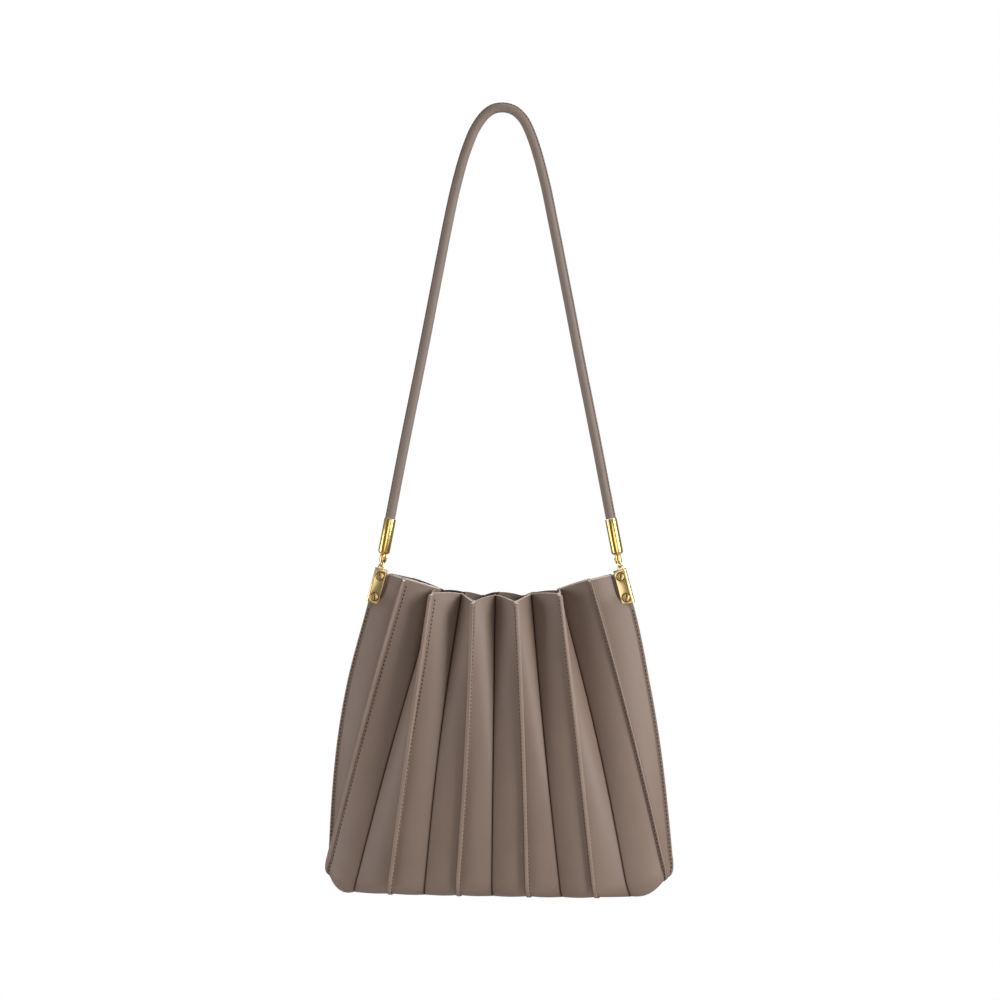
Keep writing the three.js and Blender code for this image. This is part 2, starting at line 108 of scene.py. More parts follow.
def finishMetal(pieces, name, place, material, node, smoothAngle):
  # joins what is drawn in millimetres, brings it to metres and puts it in its place
    piece = pieces[0]
    takeHold(piece)
    for other in pieces[1:]:
        other.select_set(True)
    if len(pieces) > 1:
        bpy.ops.object.join()
    piece.name = name
    piece.data.name = name
    piece.scale = (mm, mm, mm)
    applyPlace(piece)
    piece.matrix_world = place
    applyPlace(piece)
    bpy.ops.object.shade_smooth_by_angle(angle=math.radians(smoothAngle))
    piece.data.materials.clear()
    piece.data.materials.append(material)
    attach(piece, "root")
    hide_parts(node)
    return piece


# camera at the photograph's angle

view = {"distance": 2.0, "turn": 7.0, "height": -0.27115, "lens": 102.85, "sensor": 36, "reach": 50}


def placeCamera():
    turn = math.radians(view["turn"])
    spot = (view["distance"] * math.sin(turn), -view["distance"] * math.cos(turn), view["height"])
    bpy.ops.object.camera_add(location=spot, rotation=(math.pi / 2, 0, turn))
    camera = bpy.context.object
    camera.data.lens = view["lens"]
    camera.data.sensor_width = view["sensor"]
    camera.data.clip_end = view["reach"]
    bpy.context.scene.camera = camera


clearSelection()
placeCamera()
print("camera placed")


# materials

grain = {
    "cells": 1150.0, "plumpTo": 0.28, "plumpHeight": 0.7,  # pebbles of the grain
    "drift": 260.0, "driftReach": 0.0011,  # how the pebbles wander
    "fine": 3600.0, "slow": 34.0, "slowSpan": (0.3, 0.7),
    "pores": 2300.0, "poreSpan": (0.22, 0.08), "poreDepth": 0.35,
    "mottleDull": 0.08, "wearPolish": 0.06, "bumpDistance": 0.00012,
}
# the mottle range is the leather's own tone that changes at random; the fin gain is a painted highlight on
# the pinched folds, and the groove colour is the painted shade in the creases
foldTones = {"mottle": (0.955, 1.045), "finHighlightGain": 0.20, "grooveShade": (0.040, 0.017, 0.008, 1)}
# creaseDepth in each look is how strongly that leather takes the painted crease shade
leatherLooks = {
    "outsideLeather": {"color": (0.272, 0.193, 0.151), "scale": 1.0, "softness": 0.5, "creaseDepth": 0.9,
                       "roughness": 0.44, "shine": 0.42, "bump": 0.35},
    "strapLeather": {"color": (0.295, 0.222, 0.186), "scale": 1.35, "softness": 0.7, "creaseDepth": 0.7,
                     "roughness": 0.46, "shine": 0.45, "bump": 0.5},
    "insideSuede": {"color": (0.30, 0.225, 0.185), "scale": 2.2, "softness": 1.4, "creaseDepth": 0.5,
                    "roughness": 0.85, "shine": 0.15, "bump": 0.8},
    "rawEdge": {"color": (0.80, 0.69, 0.62), "scale": 2.6, "softness": 1.6, "creaseDepth": 0.2,
                "roughness": 0.8, "shine": 0.2, "bump": 0.9},
    "threadDark": {"color": (0.046, 0.031, 0.024), "scale": 3.0, "softness": 1.0, "creaseDepth": 0.0,
                   "roughness": 0.62, "shine": 0.3, "bump": 0.8},
}
goldLooks = {
    "polishedGold": {"color": (0.88, 0.60, 0.20), "roughness": 0.22, "wear": 0.4, "bump": 0.004},
    "satinGold": {"color": (0.94, 0.71, 0.33), "roughness": 0.30, "wear": 0.35, "bump": 0.02},
    # painted shade for the screw slots and the rings sunk round the heads
    "recessShadeGold": {"color": (0.38, 0.24, 0.09), "roughness": 0.5, "wear": 0.6, "bump": 0.05},
}
goldWear = {
    "lines": 5200.0, "lineStretch": (1.0, 1.0, 0.06), "lineTurn": (0.3, 0.2, 0.1),
    "cloud": 420.0, "cloudSpan": (0.35, 0.75),
    "hazeColor": (0.86, 0.78, 0.62), "hazeDull": 0.12, "bumpDistance": 0.00003,
}


def setSockets(tree, inputs, sockets):
  # links what comes out of a node, and sets anything else as a constant
    for name, value in sockets.items():
        if isinstance(value, bpy.types.NodeSocket):
            tree.links.new(value, inputs[name])
        else:
            inputs[name].default_value = value


def addNode(tree, kind, sockets, **settings):
    node = tree.nodes.new(f"ShaderNode{kind}")
    for name, value in settings.items():
        setattr(node, name, value)
    setSockets(tree, node.inputs, sockets)
    return node.outputs


def newGroup(name, inputs, outputs):
  # inputs are (label, kind, value), outputs (label, kind)
    tree = bpy.data.node_groups.new(name, "ShaderNodeTree")
    for label, kind, value in inputs:
        socket = tree.interface.new_socket(label, in_out="INPUT", socket_type=f"NodeSocket{kind}")
        if value is not None:
            socket.default_value = value
    for label, kind in outputs:
        tree.interface.new_socket(label, in_out="OUTPUT", socket_type=f"NodeSocket{kind}")
    return tree, tree.nodes.new("NodeGroupInput").outputs, tree.nodes.new("NodeGroupOutput").inputs


def calc(tree, operation, a, b=0.0, c=0.0):
    return addNode(tree, "Math", {0: a, 1: b, 2: c}, operation=operation)[0]


def ramp(tree, value, low, high):
    return addNode(tree, "MapRange", {"Value": value, "From Min": low, "From Max": high})["Result"]


def scaled(tree, vector, scale):
    return addNode(tree, "VectorMath", {0: vector, "Scale": scale}, operation="SCALE")["Vector"]


def addNoise(tree, place, scale, detail, roughness=0.5):
    sockets = {"Vector": place, "Scale": scale, "Detail": detail, "Roughness": roughness}
    return addNode(tree, "TexNoise", sockets)


def makeLeatherGrain():
  # pebbled grain, fine pores and a slow change of tone
    tree, given, out = newGroup(
        "leatherGrain",
        [("Vector", "Vector", None), ("Scale", "Float", 1.0), ("Softness", "Float", 0.5)],
        [("Height", "Float"), ("Mottle", "Float"), ("Pores", "Float")])
    place = scaled(tree, given["Vector"], given["Scale"])
    shift = scaled(tree, addNoise(tree, place, grain["drift"], 2.0)["Color"], grain["driftReach"])
    bent = addNode(tree, "VectorMath", {0: place, 1: shift}, operation="ADD")["Vector"]
    cells = addNode(tree, "TexVoronoi", {"Vector": bent, "Scale": grain["cells"]},
                    feature="DISTANCE_TO_EDGE")["Distance"]
    sockets = {"Value": cells, "From Min": 0.0, "From Max": grain["plumpTo"]}
    plump = addNode(tree, "MapRange", sockets, interpolation_type="SMOOTHSTEP")["Result"]
    fine = addNoise(tree, place, grain["fine"], 3.0, 0.6)["Fac"]
    soft = calc(tree, "MULTIPLY", fine, given["Softness"])
    slow = addNoise(tree, place, grain["slow"], 5.0, 0.55)["Fac"]
    dots = addNode(tree, "TexVoronoi", {"Vector": place, "Scale": grain["pores"]})["Distance"]
    setSockets(tree, out, {
        "Height": calc(tree, "MULTIPLY_ADD", plump, grain["plumpHeight"], soft),
        "Mottle": ramp(tree, slow, *grain["slowSpan"]),
        "Pores": ramp(tree, dots, *grain["poreSpan"])})
    return tree


def makeFoldTint():
  # painted shade in the creases, mixed towards a dark brown, and a painted highlight that makes the pinched
  # folds paler; a little polished there too
    tree, given, out = newGroup(
        "foldTint",
        [("Color", "Color", None), ("Crease", "Float", 0.0), ("Fin", "Float", 0.0),
         ("Mottle", "Float", 0.5), ("Depth", "Float", 0.7)],
        [("Color", "Color"), ("Wear", "Float")])
    low, high = foldTones["mottle"]
    tone = addNode(tree, "MapRange", {"Value": given["Mottle"], "To Min": low, "To Max": high})["Result"]
    # painted highlight: paler where the fin mask is
    lit = calc(tree, "MULTIPLY_ADD", given["Fin"], foldTones["finHighlightGain"], tone)
    # painted shade: mixed towards the dark brown where the crease mask is
    sockets = {"Factor": calc(tree, "MULTIPLY", given["Crease"], given["Depth"]),
               "A": scaled(tree, given["Color"], lit), "B": foldTones["grooveShade"]}
    setSockets(tree, out, {
        "Color": addNode(tree, "Mix", sockets, data_type="RGBA")["Result"],
        "Wear": calc(tree, "MULTIPLY", given["Fin"], given["Mottle"])})
    return tree


def makeMetalWear():
  # hairline scratches and a haze of handling
    tree, given, out = newGroup(
        "metalWear",
        [("Vector", "Vector", None), ("Scale", "Float", 1.0), ("Amount", "Float", 0.5)],
        [("Height", "Float"), ("Haze", "Float")])
    place = scaled(tree, given["Vector"], given["Scale"])
    sockets = {"Vector": place, "Scale": goldWear["lineStretch"], "Rotation": goldWear["lineTurn"]}
    lines = addNoise(tree, addNode(tree, "Mapping", sockets)["Vector"], goldWear["lines"], 2.0)["Fac"]
    cloud = ramp(tree, addNoise(tree, place, goldWear["cloud"], 4.0)["Fac"], *goldWear["cloudSpan"])
    setSockets(tree, out, {"Height": calc(tree, "MULTIPLY", lines, given["Amount"]),
                           "Haze": calc(tree, "MULTIPLY", cloud, given["Amount"])})
    return tree


leatherGrain = makeLeatherGrain()
foldTint = makeFoldTint()
metalWear = makeMetalWear()


def startMaterial(name):
    material = bpy.data.materials.new(name)
    material.use_nodes = True
    tree = material.node_tree
    place = addNode(tree, "TexCoord", {})["Object"]
    return material, tree, tree.nodes["Principled BSDF"].inputs, place


def bumped(tree, height, strength, distance):
    sockets = {"Height": height, "Strength": strength, "Distance": distance}
    return addNode(tree, "Bump", sockets)["Normal"]


def makeLeather(name):
    look = leatherLooks[name]
    material, tree, shader, place = startMaterial(name)
    sockets = {"Vector": place, "Scale": look["scale"], "Softness": look["softness"]}
    pattern = addNode(tree, "Group", sockets, node_tree=leatherGrain)
    mottle = pattern["Mottle"]
    crease, fin = (addNode(tree, "Attribute", {}, attribute_name=mask)["Fac"] for mask in ("crease", "fin"))
    sockets = {"Color": (*look["color"], 1), "Crease": crease, "Fin": fin, "Mottle": mottle,
               "Depth": look["creaseDepth"]}
    tint = addNode(tree, "Group", sockets, node_tree=foldTint)
    dull = calc(tree, "MULTIPLY_ADD", mottle, grain["mottleDull"], look["roughness"])
    pitted = calc(tree, "MULTIPLY_ADD", pattern["Pores"], -grain["poreDepth"], pattern["Height"])
    setSockets(tree, shader, {
        "Base Color": tint["Color"],
        "Roughness": calc(tree, "MULTIPLY_ADD", tint["Wear"], -grain["wearPolish"], dull),
        "Specular IOR Level": calc(tree, "MULTIPLY_ADD", crease, -look["shine"], look["shine"]),
        "Normal": bumped(tree, pitted, look["bump"], grain["bumpDistance"])})
    return material


def makeGold(name):
    look = goldLooks[name]
    material, tree, shader, place = startMaterial(name)
    wear = addNode(tree, "Group", {"Vector": place, "Amount": look["wear"]}, node_tree=metalWear)
    hazy = [c * h for c, h in zip(look["color"], goldWear["hazeColor"])]
    sockets = {"Factor": wear["Haze"], "A": (*look["color"], 1), "B": (*hazy, 1)}
    setSockets(tree, shader, {
        "Base Color": addNode(tree, "Mix", sockets, data_type="RGBA")["Result"],
        "Metallic": 1,
        "Roughness": calc(tree, "MULTIPLY_ADD", wear["Haze"], goldWear["hazeDull"], look["roughness"]),
        "Normal": bumped(tree, wear["Height"], look["bump"], goldWear["bumpDistance"])})
    return material


leathers = {name: makeLeather(name) for name in leatherLooks}
golds = {name: makeGold(name) for name in goldLooks}
print("materials made")


# lines, meshes and stitches of the soft pieces

def unit(v):
    return v / np.maximum(np.linalg.norm(v, axis=-1, keepdims=True), 1e-12)


def blend(a, b, t):
    return a + (b - a) * t


def smoothstep(low, high, x):
    t = np.clip((x - low) / (high - low), 0, 1)
    return t * t * (3 - 2 * t)


def mirrored(values):
  # values of the front half, then the same ones back to the rim
    return np.concatenate([values, values[-2::-1]])


def lineLength(line):
    return float(np.linalg.norm(np.diff(line, axis=0), axis=1).sum())


def evenSteps(line, spacing):
  # the first three columns are places, any others are carried along
    gone = np.concatenate([[0], np.cumsum(np.linalg.norm(np.diff(line[:, :3], axis=0), axis=1))])
    count = max(2, int(round(gone[-1] / spacing)) + 1)
    wanted = np.linspace(0, gone[-1], count)
    return np.stack([np.interp(wanted, gone, line[:, i]) for i in range(line.shape[1])], axis=1)


def smoothRoute(points, spacing, steps=24):
  # a centripetal spline through the points, cut into even steps
    points = [np.array(p, float) for p in points]
    points = [2 * points[0] - points[1], *points, 2 * points[-1] - points[-2]]
    fine = []
    for i in range(1, len(points) - 2):
        four = points[i - 1:i + 3]
        knots = [0.0]
        for a, b in zip(four, four[1:]):
            knots.append(knots[-1] + math.sqrt(np.linalg.norm(b - a)))
        for t in np.linspace(knots[1], knots[2], steps, endpoint=False):
            level = four
            for order in (1, 2):
                level = [(level[j] * (knots[j + order] - t) + level[j + 1] * (t - knots[j]))
                         / (knots[j + order] - knots[j]) for j in range(len(level) - 1)]
            fine.append((level[0] * (knots[2] - t) + level[1] * (t - knots[1])) / (knots[2] - knots[1]))
    fine.append(points[-2])
    return evenSteps(np.array(fine), spacing)


def newMesh(name, points, faces, materials):
    mesh = bpy.data.meshes.new(name)
    mesh.from_pydata([tuple(p) for p in points], [], faces)
    piece = bpy.data.objects.new(name, mesh)
    bpy.context.collection.objects.link(piece)
    for material in materials:
        mesh.materials.append(material)
    return piece


def finishSoft(piece, smoothAngle=40):
    takeHold(piece)
    bpy.ops.object.mode_set(mode="EDIT")
    bpy.ops.mesh.select_all(action="SELECT")
    bpy.ops.mesh.normals_make_consistent(inside=False)
    bpy.ops.object.mode_set(mode="OBJECT")
    bpy.ops.object.shade_smooth_by_angle(angle=math.radians(smoothAngle))
    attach(piece, "root")
    return piece


def addMask(piece, name, values):
    mask = piece.data.attributes.new(name, "FLOAT", "POINT")
    mask.data.foreach_set("value", np.asarray(values, float))


def stitchMesh(size):
  # one stitch: a thread bead, thick in the middle and sunk at both ends
    clearSelection()
    bpy.ops.mesh.primitive_uv_sphere_add(segments=6, ring_count=4, radius=0.5,
                                         rotation=(0, math.pi / 2, 0))
    bead = applyPlace(bpy.context.object)
    points = np.array([v.co for v in bead.data.vertices]) * np.array(size)
    faces = [tuple(f.vertices) for f in bead.data.polygons]
    bpy.data.objects.remove(bead, do_unlink=True)
    return points, faces


def sewRows(name, rows, size, pitch):
  # rows are (points, outward directions); every stitch lies along its row
    bead, beadFaces = stitchMesh(size)
    points, faces = [], []
    for line, outward in rows:
        both = evenSteps(np.hstack([line, outward]), pitch)
        spots, ups = both[:, :3], unit(both[:, 3:])
        along = unit(np.gradient(spots, axis=0))
        ups = unit(ups - along * (ups * along).sum(1, keepdims=True))
        sideways = np.cross(ups, along)
        for spot, x, y, z in zip(spots, along, sideways, ups):
            start = len(points) * len(bead)
            points.append(spot + bead @ np.stack([x, y, z]))
            faces.extend(tuple(start + i for i in face) for face in beadFaces)
    piece = newMesh(name, np.concatenate(points), faces, [leathers["threadDark"]])
    for label in ("crease", "fin"):
        addMask(piece, label, np.zeros(len(piece.data.vertices)))
    finishSoft(piece, 60)
    return piece


# the strap: a round sewn tube of leather on one smooth route

strap = {
    "diameter": 0.0071,
    "sides": 40,
    "spacing": 0.0016,  # between two rings
    "seamHeight": 0.0004,
    "seamWidth": 0.0009,
    "wobble": 0.012, "wobbleStep": 0.11, "wobbleSeed": 3.1,
    "grooveAt": 2.1, "grooveWidth": 0.5, "grooveTone": 0.55,  # painted shade in a groove beside the seam, placed and sized in seam widths
    "stitchAt": 1.55,  # in seam widths
    "stitchLift": 0.00014,
    "stitchPitch": 0.0028,
    "stitchSize": (0.0018, 0.00055, 0.00045),
}
strapRoute = [  # x and z in millimetres, from the left ferrule over the top to the right one
    (-77.7, -284.1), (-73.8, -263.9), (-69.7, -242.9), (-65.5, -221.9), (-61.2, -200.9),
    (-56.9, -179.9), (-52.7, -158.9), (-48.6, -137.9), (-44.5, -116.9), (-40.4, -95.9), (-36.2, -74.9),
    (-31.6, -53.9), (-26.0, -33.0), (-22.4, -22.5), (-18.1, -12.3), (-13.2, -4.6), (-9.4, -0.5),
    (-4.9, 2.4), (0, 3.4), (4.9, 3.1), (9.6, 1.4), (13.2, -1.4), (16.8, -5.6), (20.4, -12.6),
    (24.2, -22.8), (27.3, -33.1), (32.5, -53.9), (36.8, -74.9), (41.0, -95.9), (45.1, -116.9),
    (49.2, -137.9), (53.2, -158.9), (57.3, -179.9), (61.5, -200.9), (65.7, -221.9), (69.8, -242.9),
    (73.8, -263.9), (77.7, -284.1),
]


def makeStrap():
    line = smoothRoute([(x * mm, 0, z * mm) for x, z in strapRoute], strap["spacing"])
    along = unit(np.gradient(line, axis=0))
    toBack = np.array((0, 1, 0))
    away = np.cross(along, toBack)
    if away[len(away) // 2][2] < 0:
        away = -away  # towards the outside of the bend
    angles = np.linspace(0, 2 * math.pi, strap["sides"], endpoint=False)
    radius = strap["diameter"] / 2 - strap["seamHeight"] / 2
    arc = np.minimum(angles, 2 * math.pi - angles) * radius
    seam = np.exp(-(arc / strap["seamWidth"]) ** 2)
    ridge = strap["seamHeight"] * seam
    points = []
    for i, (spot, out) in enumerate(zip(line, away)):
        shift = noise.noise(Vector((i * strap["wobbleStep"], strap["wobbleSeed"], 0)))
        wobble = 1 + strap["wobble"] * shift
        for angle, lift in zip(angles, ridge):
            reach = radius * wobble + lift
            points.append(spot + out * math.cos(angle) * reach + toBack * math.sin(angle) * reach)
    n, count = strap["sides"], len(line)
    faces = [(r * n + i, r * n + (i + 1) % n, (r + 1) * n + (i + 1) % n, (r + 1) * n + i)
             for r in range(count - 1) for i in range(n)]
    faces += [tuple(range(n)), tuple(range((count - 1) * n, count * n))]
    piece = newMesh("strap_leather", points, faces, [leathers["strapLeather"]])
    # painted shade in the groove beside the seam, and a painted highlight along the seam's ridge
    grooveWidth = strap["grooveWidth"] * strap["seamWidth"]
    grooveShade = np.exp(-((arc - strap["grooveAt"] * strap["seamWidth"]) / grooveWidth) ** 2)
    addMask(piece, "crease", np.tile(strap["grooveTone"] * grooveShade, count))
    addMask(piece, "fin", np.tile(seam, count))
    finishSoft(piece)
    rows = []
    for turn in (-1, 1):
        angle = turn * strap["stitchAt"] * strap["seamWidth"] / radius
        out = away * math.cos(angle) + toBack * math.sin(angle)
        rows.append((line + out * (radius + strap["stitchLift"]), out))
    stitches = sewRows("strap_stitches", rows, strap["stitchSize"], strap["stitchPitch"])
    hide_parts("strap")
    print("strap made, length", round(lineLength(line), 4))


makeStrap()


# the pleated leather body

body = {
    "rimDrop": 0.320,
    "height": 0.2240,
    "baseCornerRadius": 0.013,
    "sideCornerRadius": 0.015,
    "longestTurn": 0.6,  # share of the underside that a corner may take
    "leather": 0.00125,
    "throat": 0.00010,  # half the space between the two layers of a pinched fold
    "seamGap": 0.0003,
    "seamEdge": (0.0003, 0.86, 0.00005, 0.0006),  # drop, width, inner drop, and where it is full
    "pinch": 0.0031,
    "pinchUnder": 0.0008,
    "flatFrom": 0.8,  # turn at which a pinch reaches its height under the base
    "finEdge": 0.0004,  # rounding of a fin's edge
    "finMiddle": 0.55,  # a column half way up the fin
    "finDrop": 0.0018,  # how far a fin's edge sags at the rim
    "rimCut": 0.0012,  # slope of the cut edge along the rim
    "rootLip": 0.0004,  # from the root up the fin
    "rootStep": 0.0002,  # from the root along the panel
    "clampedPinch": 0.0096,
    "clampLength": 0.0246,
    "clampRelease": (0.6, 1.2),  # where the fold is let go, in clamp lengths
    "panelBulge": 0.0013,
    "underFlat": 0.8,  # share of the bulge that the underside loses
    "cornerBulge": (0.0062, 0.0040),  # left and right
    "creaseLip": 0.00045,
    "creaseDepth": 0.0007,
    "creaseInset": 0.6,  # of the crease's depth
    "creaseBack": 1.15,  # inside of the lips, in leather thicknesses
    "creaseLimit": 1.6,  # furthest inside of a sharp crease, in leather thicknesses
    "ripple": 0.0004,
    "rippleScale": 22,
}

# painted shade by a crease: how dark the leather is painted there, and how far that reaches
creaseShadeTones = {"lip": 0.8, "line": 0.55, "lineReach": 0.0004, "shade": 0.17, "shadeReach": 0.008}

# fold: [is pinched, rim y, dip, base y, rise, lean at the rim and at the base, belly forwards,
#        left (rim x, base x, belly, under x), right (the same)], in millimetres and degrees
folds = {
    "middle": [False, 10, 16.3, 43.2, 0, 0, 0, 7.2, (2.1, 0.6, -0.8, 0), (-2.1, -0.6, 0.8, 0)],
    "first": [True, 27, 19.7, 48, 0, 26, 2, 4.3, (16.6, 23.9, -1.9, 24), (15.1, 24.7, 1.4, 24)],
    "second": [False, 8.1, 15.7, 42.7, 0, 17, 4, 7.2, (25.9, 48.2, 1.2, 48), (22.9, 47.1, 0, 47.5)],
    "third": [True, 24, 14.2, 46.1, 0, 38, 8, 3.8, (46.1, 72.2, 0, 71.7), (45.2, 71.1, 0.9, 71.7)],
    "fourth": [False, 7, 12.5, 35, 0, 30, 25, 2.9, (41.5, 98.8, 1.6, 98), (41.5, 93.6, 3.2, 95)],
    "corner": [True, 19.4, 4.5, 25, 10, 42, 58, 1.4, (66.2, 122.3, 1.2, 112), (66, 120.8, 1.9, 111)],
    "tuck": [False, 11, 6.8, 16, 10, 74, 88, 1, (61, 108, 2, 121.3), (61, 108, 2, 121.3)],
    "side": [True, 0, 0, 0, 10, 90, 90, 0, (87, 124.2, 8.0, 109), (87, 123.4, 5.0, 109)],
}
# how far the back rim stands above the front one, in millimetres
backRise = {"middle": 1.2, "first": 2.1, "second": 0.5, "third": 0.4, "fourth": -1.1, "corner": -0.9}
# belly of the side fold in its clamp, in millimetres, and the shares of the leg where it changes
sideBelly = {"clamped": 6.72, "change": (0.12, 0.4)}
# where a panel has its columns, and the seeds of its ripples
panelShares = (0.012, 0.035, 0.09, 0.2, 0.35, 0.5, 0.65, 0.8, 0.91, 0.965, 0.988)
rippleSeeds = {"panel": 3.7, "gusset": 2.9, "right": 40}

legSteps, cornerSteps, underSteps = 64, 14, 10
cornerEnd = legSteps + cornerSteps


def levelTable():
  # every level belongs to the leg, the corner or the underside, at a share of its length
    stretch = [0] * (legSteps + 1) + [1] * cornerSteps + [2] * underSteps
    share = [*np.linspace(0, 1, legSteps + 1), *(np.arange(1, cornerSteps + 1) / cornerSteps),
             *(np.arange(1, underSteps + 1) / underSteps)]
    return np.array(stretch), np.array(share)


stretch, share = levelTable()
isLeg, isCorner, isUnder = stretch == 0, stretch == 1, stretch == 2
turned = np.where(isLeg, 0, np.where(isCorner, share, 1))


def tipLine(name, sideName, isBack=False):
  # tip of a fold on the left front quarter, from the rim to the middle of the underside
    _, rimY, dip, baseY, rise, _, _, bellyY, left, right = folds[name]
    rimX, baseX, bellyX, underX = left if sideName == "left" else right
    top = np.array((-rimX * mm, -rimY * mm, -body["rimDrop"] - dip * mm))
    if isBack:
        top[2] += backRise.get(name, 0) * mm
    baseZ = -body["rimDrop"] - body["height"] + rise * mm
    base = np.array((-baseX * mm, -baseY * mm, baseZ))
    under = np.array((-underX * mm, 0, baseZ))
    radius = body["sideCornerRadius"] if rise else body["baseCornerRadius"]
    legEnd = base + (top - base) * radius / (top[2] - baseZ)
    reach = np.linalg.norm(under - base)
    underStart = base + (under - base) / reach * min(radius, body["longestTurn"] * reach)
    s = share[:, None]
    leg = blend(top, legEnd, s)
    swell = np.sin(math.pi * share)
    if name == "side":
        clamped = sideBelly["clamped"]
        bellyX = clamped + (bellyX - clamped) * smoothstep(*sideBelly["change"], share)
    leg[:, 0] -= bellyX * mm * swell
    leg[:, 1] -= bellyY * mm * swell
    corner = legEnd * (1 - s) ** 2 + 2 * base * s * (1 - s) + underStart * s ** 2
    below = blend(underStart, under, s)
    return np.where(isLeg[:, None], leg, np.where(isCorner[:, None], corner, below))


def foldStation(name, sideName, isBack=False):
  # tips, outward directions, ways across and roots of one fold at every level
    pinched, rise, rimLean, baseLean = (folds[name][i] for i in (0, 4, 5, 6))
    tip = tipLine(name, sideName, isBack)
    along = unit(np.gradient(tip, axis=0))
    along[-1] = (0, 1, 0)
    lean = np.radians(blend(rimLean, baseLean, np.where(isLeg, share, 1)))
    forwards = np.cos(lean) * np.where(isUnder, 1 - share, 1)
    facing = np.stack([-np.sin(lean), -forwards, 0 * lean], axis=1)
    turn = (turned * (0.5 if rise else 1) * math.pi / 2)[:, None]
    out = facing * np.cos(turn) + np.array((0, 0, -1)) * np.sin(turn)
    out = unit(out - along * (out * along).sum(1, keepdims=True))
    across = unit(np.cross(out, along))
    pinch = np.zeros(len(share))
    if pinched:
        pinch = blend(body["pinch"], body["pinchUnder"], smoothstep(0, body["flatFrom"], turned))
        if name == "side":
            clampShare = body["clampLength"] / body["height"]
            release = smoothstep(*(clampShare * r for r in body["clampRelease"]), share)
            pinch = np.where(isLeg, blend(body["clampedPinch"], pinch, release), pinch)
    root = tip - out * pinch[:, None]
    flip = np.array((1 if sideName == "left" else -1, -1 if isBack else 1, 1))
    return {"pinched": pinched, "tip": tip * flip, "out": out * flip, "root": root * flip,
            "across": across * flip * flip[0], "sense": 1}


def trimmed(station, end):
    return {k: (v[:end] if isinstance(v, np.ndarray) else v) for k, v in station.items()}


def joined(front, back):
  # one fold from the front rim under the base to the back rim
    merged = dict(front)
    for key in ("tip", "out", "root", "across"):
        merged[key] = np.concatenate([front[key], back[key][-2::-1]])
    return merged


class Sheet:
  # columns of the leather, each an outside line, an inside line and two masks

    def __init__(self):
        self.outside, self.inside, self.crease, self.fin = [], [], [], []

    def add(self, outside, inside, crease=0.0, fin=0.0):
        self.outside.append(outside)
        self.inside.append(inside)
        self.crease.append(np.broadcast_to(crease, len(outside)))
        self.fin.append(np.broadcast_to(fin, len(outside)))


def sideOf(station, way):
    return station["across"] * station["sense"] * way


def faceOf(station, way):
  # where a panel leaves the fold: the root's near or far side, or the crease
    if station["pinched"]:
        return station["root"] + sideOf(station, way) * body["leather"]
    return station["tip"]


def cornerDrop(station, way, target):
  # angle between the fold's outward direction and the panel
    towards = unit(target - faceOf(station, way))
    angle = np.arccos(np.clip(np.abs((towards * station["out"]).sum(1)), 0, 0.999))
    return angle[:, None]


def addCrease(sheet, station, before, after):
    # the lips and the bottom of the pressed groove carry the crease mask, painted shade in the valley
    t, out, tip = body["leather"], station["out"], station["tip"]

    def addLip(target):
        spot = tip + unit(target - tip) * body["creaseLip"]
        sheet.add(spot, spot - out * t * body["creaseBack"], creaseShadeTones["lip"])

    addLip(before)
    inner = tip - out * t * np.minimum(1 / np.sin(cornerDrop(station, 1, after)), body["creaseLimit"])
    inset = body["creaseDepth"]
    sheet.add(tip - out * inset * body["creaseInset"], inner - out * inset * body["creaseInset"], 1.0)
    addLip(after)


def finColumns(station, way, neighbour, gap):
  # one side of a pinched fold, from half way up the fin to the panel; its masks paint shade towards the
  # root and a highlight up the fin
    t, out, root = body["leather"], station["out"], station["root"]
    side = sideOf(station, way)
    height = ((station["tip"] - out * t - root) * out).sum(1, keepdims=True)
    middle, lip = root + out * height * body["finMiddle"], root + out * body["rootLip"]
    drop = t * np.tan(cornerDrop(station, way, neighbour) / 2)
    return [(middle + side * t, middle + side * gap, 0.05, 0.8),
            (lip + side * t, lip + side * gap, 0.15, 0.3),
            (root + side * (t + body["rootStep"]), root - out * drop + side * gap, 0.3, 0)]


def addSeamFold(sheet, station, before, after):
  # half of a pinched fold, at the start or the end of a sheet; its edge carries the fin mask, a painted
  # highlight
    way, neighbour = (1, after) if before is None else (-1, before)
    t, out, tip = body["leather"], station["out"], station["tip"]
    side, gap = sideOf(station, way), body["seamGap"] / 2
    slope, inward, cut, below = body["seamEdge"]
    columns = [(tip - out * slope + side * t * inward, tip - out * cut + side * gap, 0, 0.9),
               (tip - out * below + side * t, tip - out * below + side * gap, 0, 1),
               *finColumns(station, way, neighbour, gap)]
    for column in columns[::way]:
        sheet.add(*column)


def addWholeFold(sheet, station, before, after):
    t, r, gap = body["leather"], body["finEdge"], body["throat"]
    out, tip, side = station["out"], station["tip"], sideOf(station, 1)
    centre = tip - out * t
    for column in finColumns(station, -1, before, gap)[::-1]:
        sheet.add(*column)
    profile = [(-t, r), (0.3 * r - t, 0.3 * r), (r - t, 0), (0, -0.1 * r),
               (t - r, 0), (t - 0.3 * r, 0.3 * r), (t, r)]
    # the rounded edge of the fold carries the fin mask, a painted highlight
    for x, y in profile:
        sheet.add(tip + side * x - out * y, centre + side * gap * np.sign(x), 0, 1)
    for column in finColumns(station, 1, after, gap):
        sheet.add(*column)


